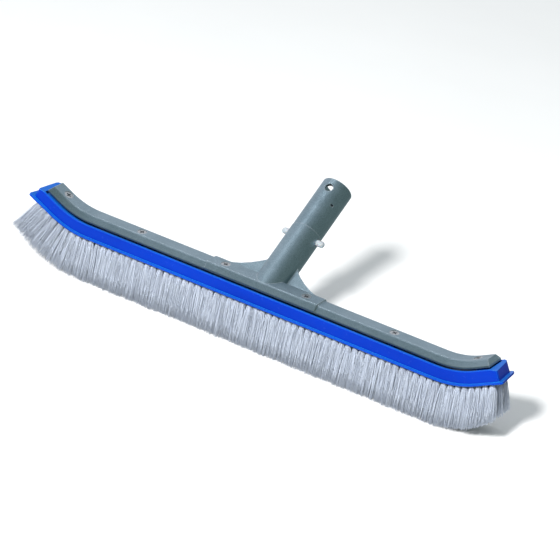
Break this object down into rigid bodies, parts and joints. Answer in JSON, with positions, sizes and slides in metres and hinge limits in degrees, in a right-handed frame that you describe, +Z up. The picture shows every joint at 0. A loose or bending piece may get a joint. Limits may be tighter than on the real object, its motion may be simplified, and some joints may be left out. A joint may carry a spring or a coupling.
{
  "type": "pool wall brush",
  "caption": "Curved pool wall brush with a cast back, angled pole spigot with spring push buttons, and tufted bristles flared up at both ends",
  "frame": {"origin": "tip face of the middle tuft, which is the plane that the brush stands on", "axes": "+X along the brush, +Y towards the side that the pole spigot leans to, +Z up, away from the bristle tips"},
  "size_m": [0.4644, 0.121, 0.117],
  "materials": {
    "cast_aluminium": "bare satin casting with fine grain",
    "blue_plastic": "glossy moulded cobalt blue plastic",
    "stainless_screws": "bright stainless steel with dark cross recess",
    "spring_steel": "rolled spring strip",
    "white_plastic": "slightly translucent white acetal",
    "anchor_wire": "flat drawn wire",
    "bristle_fibre": "bundles of fine translucent white polypropylene filaments"
  },
  "bodies": {
    "brush_head": {"aluminium_back": "cast_aluminium", "bristle_base": "blue_plastic", "back_screws": "stainless_screws", "clip_spring": "spring_steel", "tuft_anchors": "anchor_wire", "bristle_row_1_left": "bristle_fibre", "bristle_row_1_middle": "bristle_fibre", "bristle_row_1_right": "bristle_fibre", "bristle_row_2_left": "bristle_fibre", "bristle_row_2_middle": "bristle_fibre", "bristle_row_2_right": "bristle_fibre", "bristle_row_3_left": "bristle_fibre", "bristle_row_3_middle": "bristle_fibre", "bristle_row_3_right": "bristle_fibre", "bristle_row_4_left": "bristle_fibre", "bristle_row_4_middle": "bristle_fibre", "bristle_row_4_right": "bristle_fibre", "bristle_row_5_left": "bristle_fibre", "bristle_row_5_middle": "bristle_fibre", "bristle_row_5_right": "bristle_fibre"},
    "left_button": {"left_button": "white_plastic"},
    "right_button": {"right_button": "white_plastic"}
  },
  "joints": [
    {"name": "left_button_press", "type": "slide", "parent": "brush_head", "child": "left_button", "axis": [1, 0, 0], "range_m": [0, 0.0066], "stiffness_N_per_m": 900, "springref_m": -0.002, "deforming": ["clip_spring"]},
    {"name": "right_button_press", "type": "slide", "parent": "brush_head", "child": "right_button", "axis": [-1, 0, 0], "range_m": [0, 0.0066], "stiffness_N_per_m": 900, "springref_m": -0.002, "deforming": ["clip_spring"]}
  ]
}
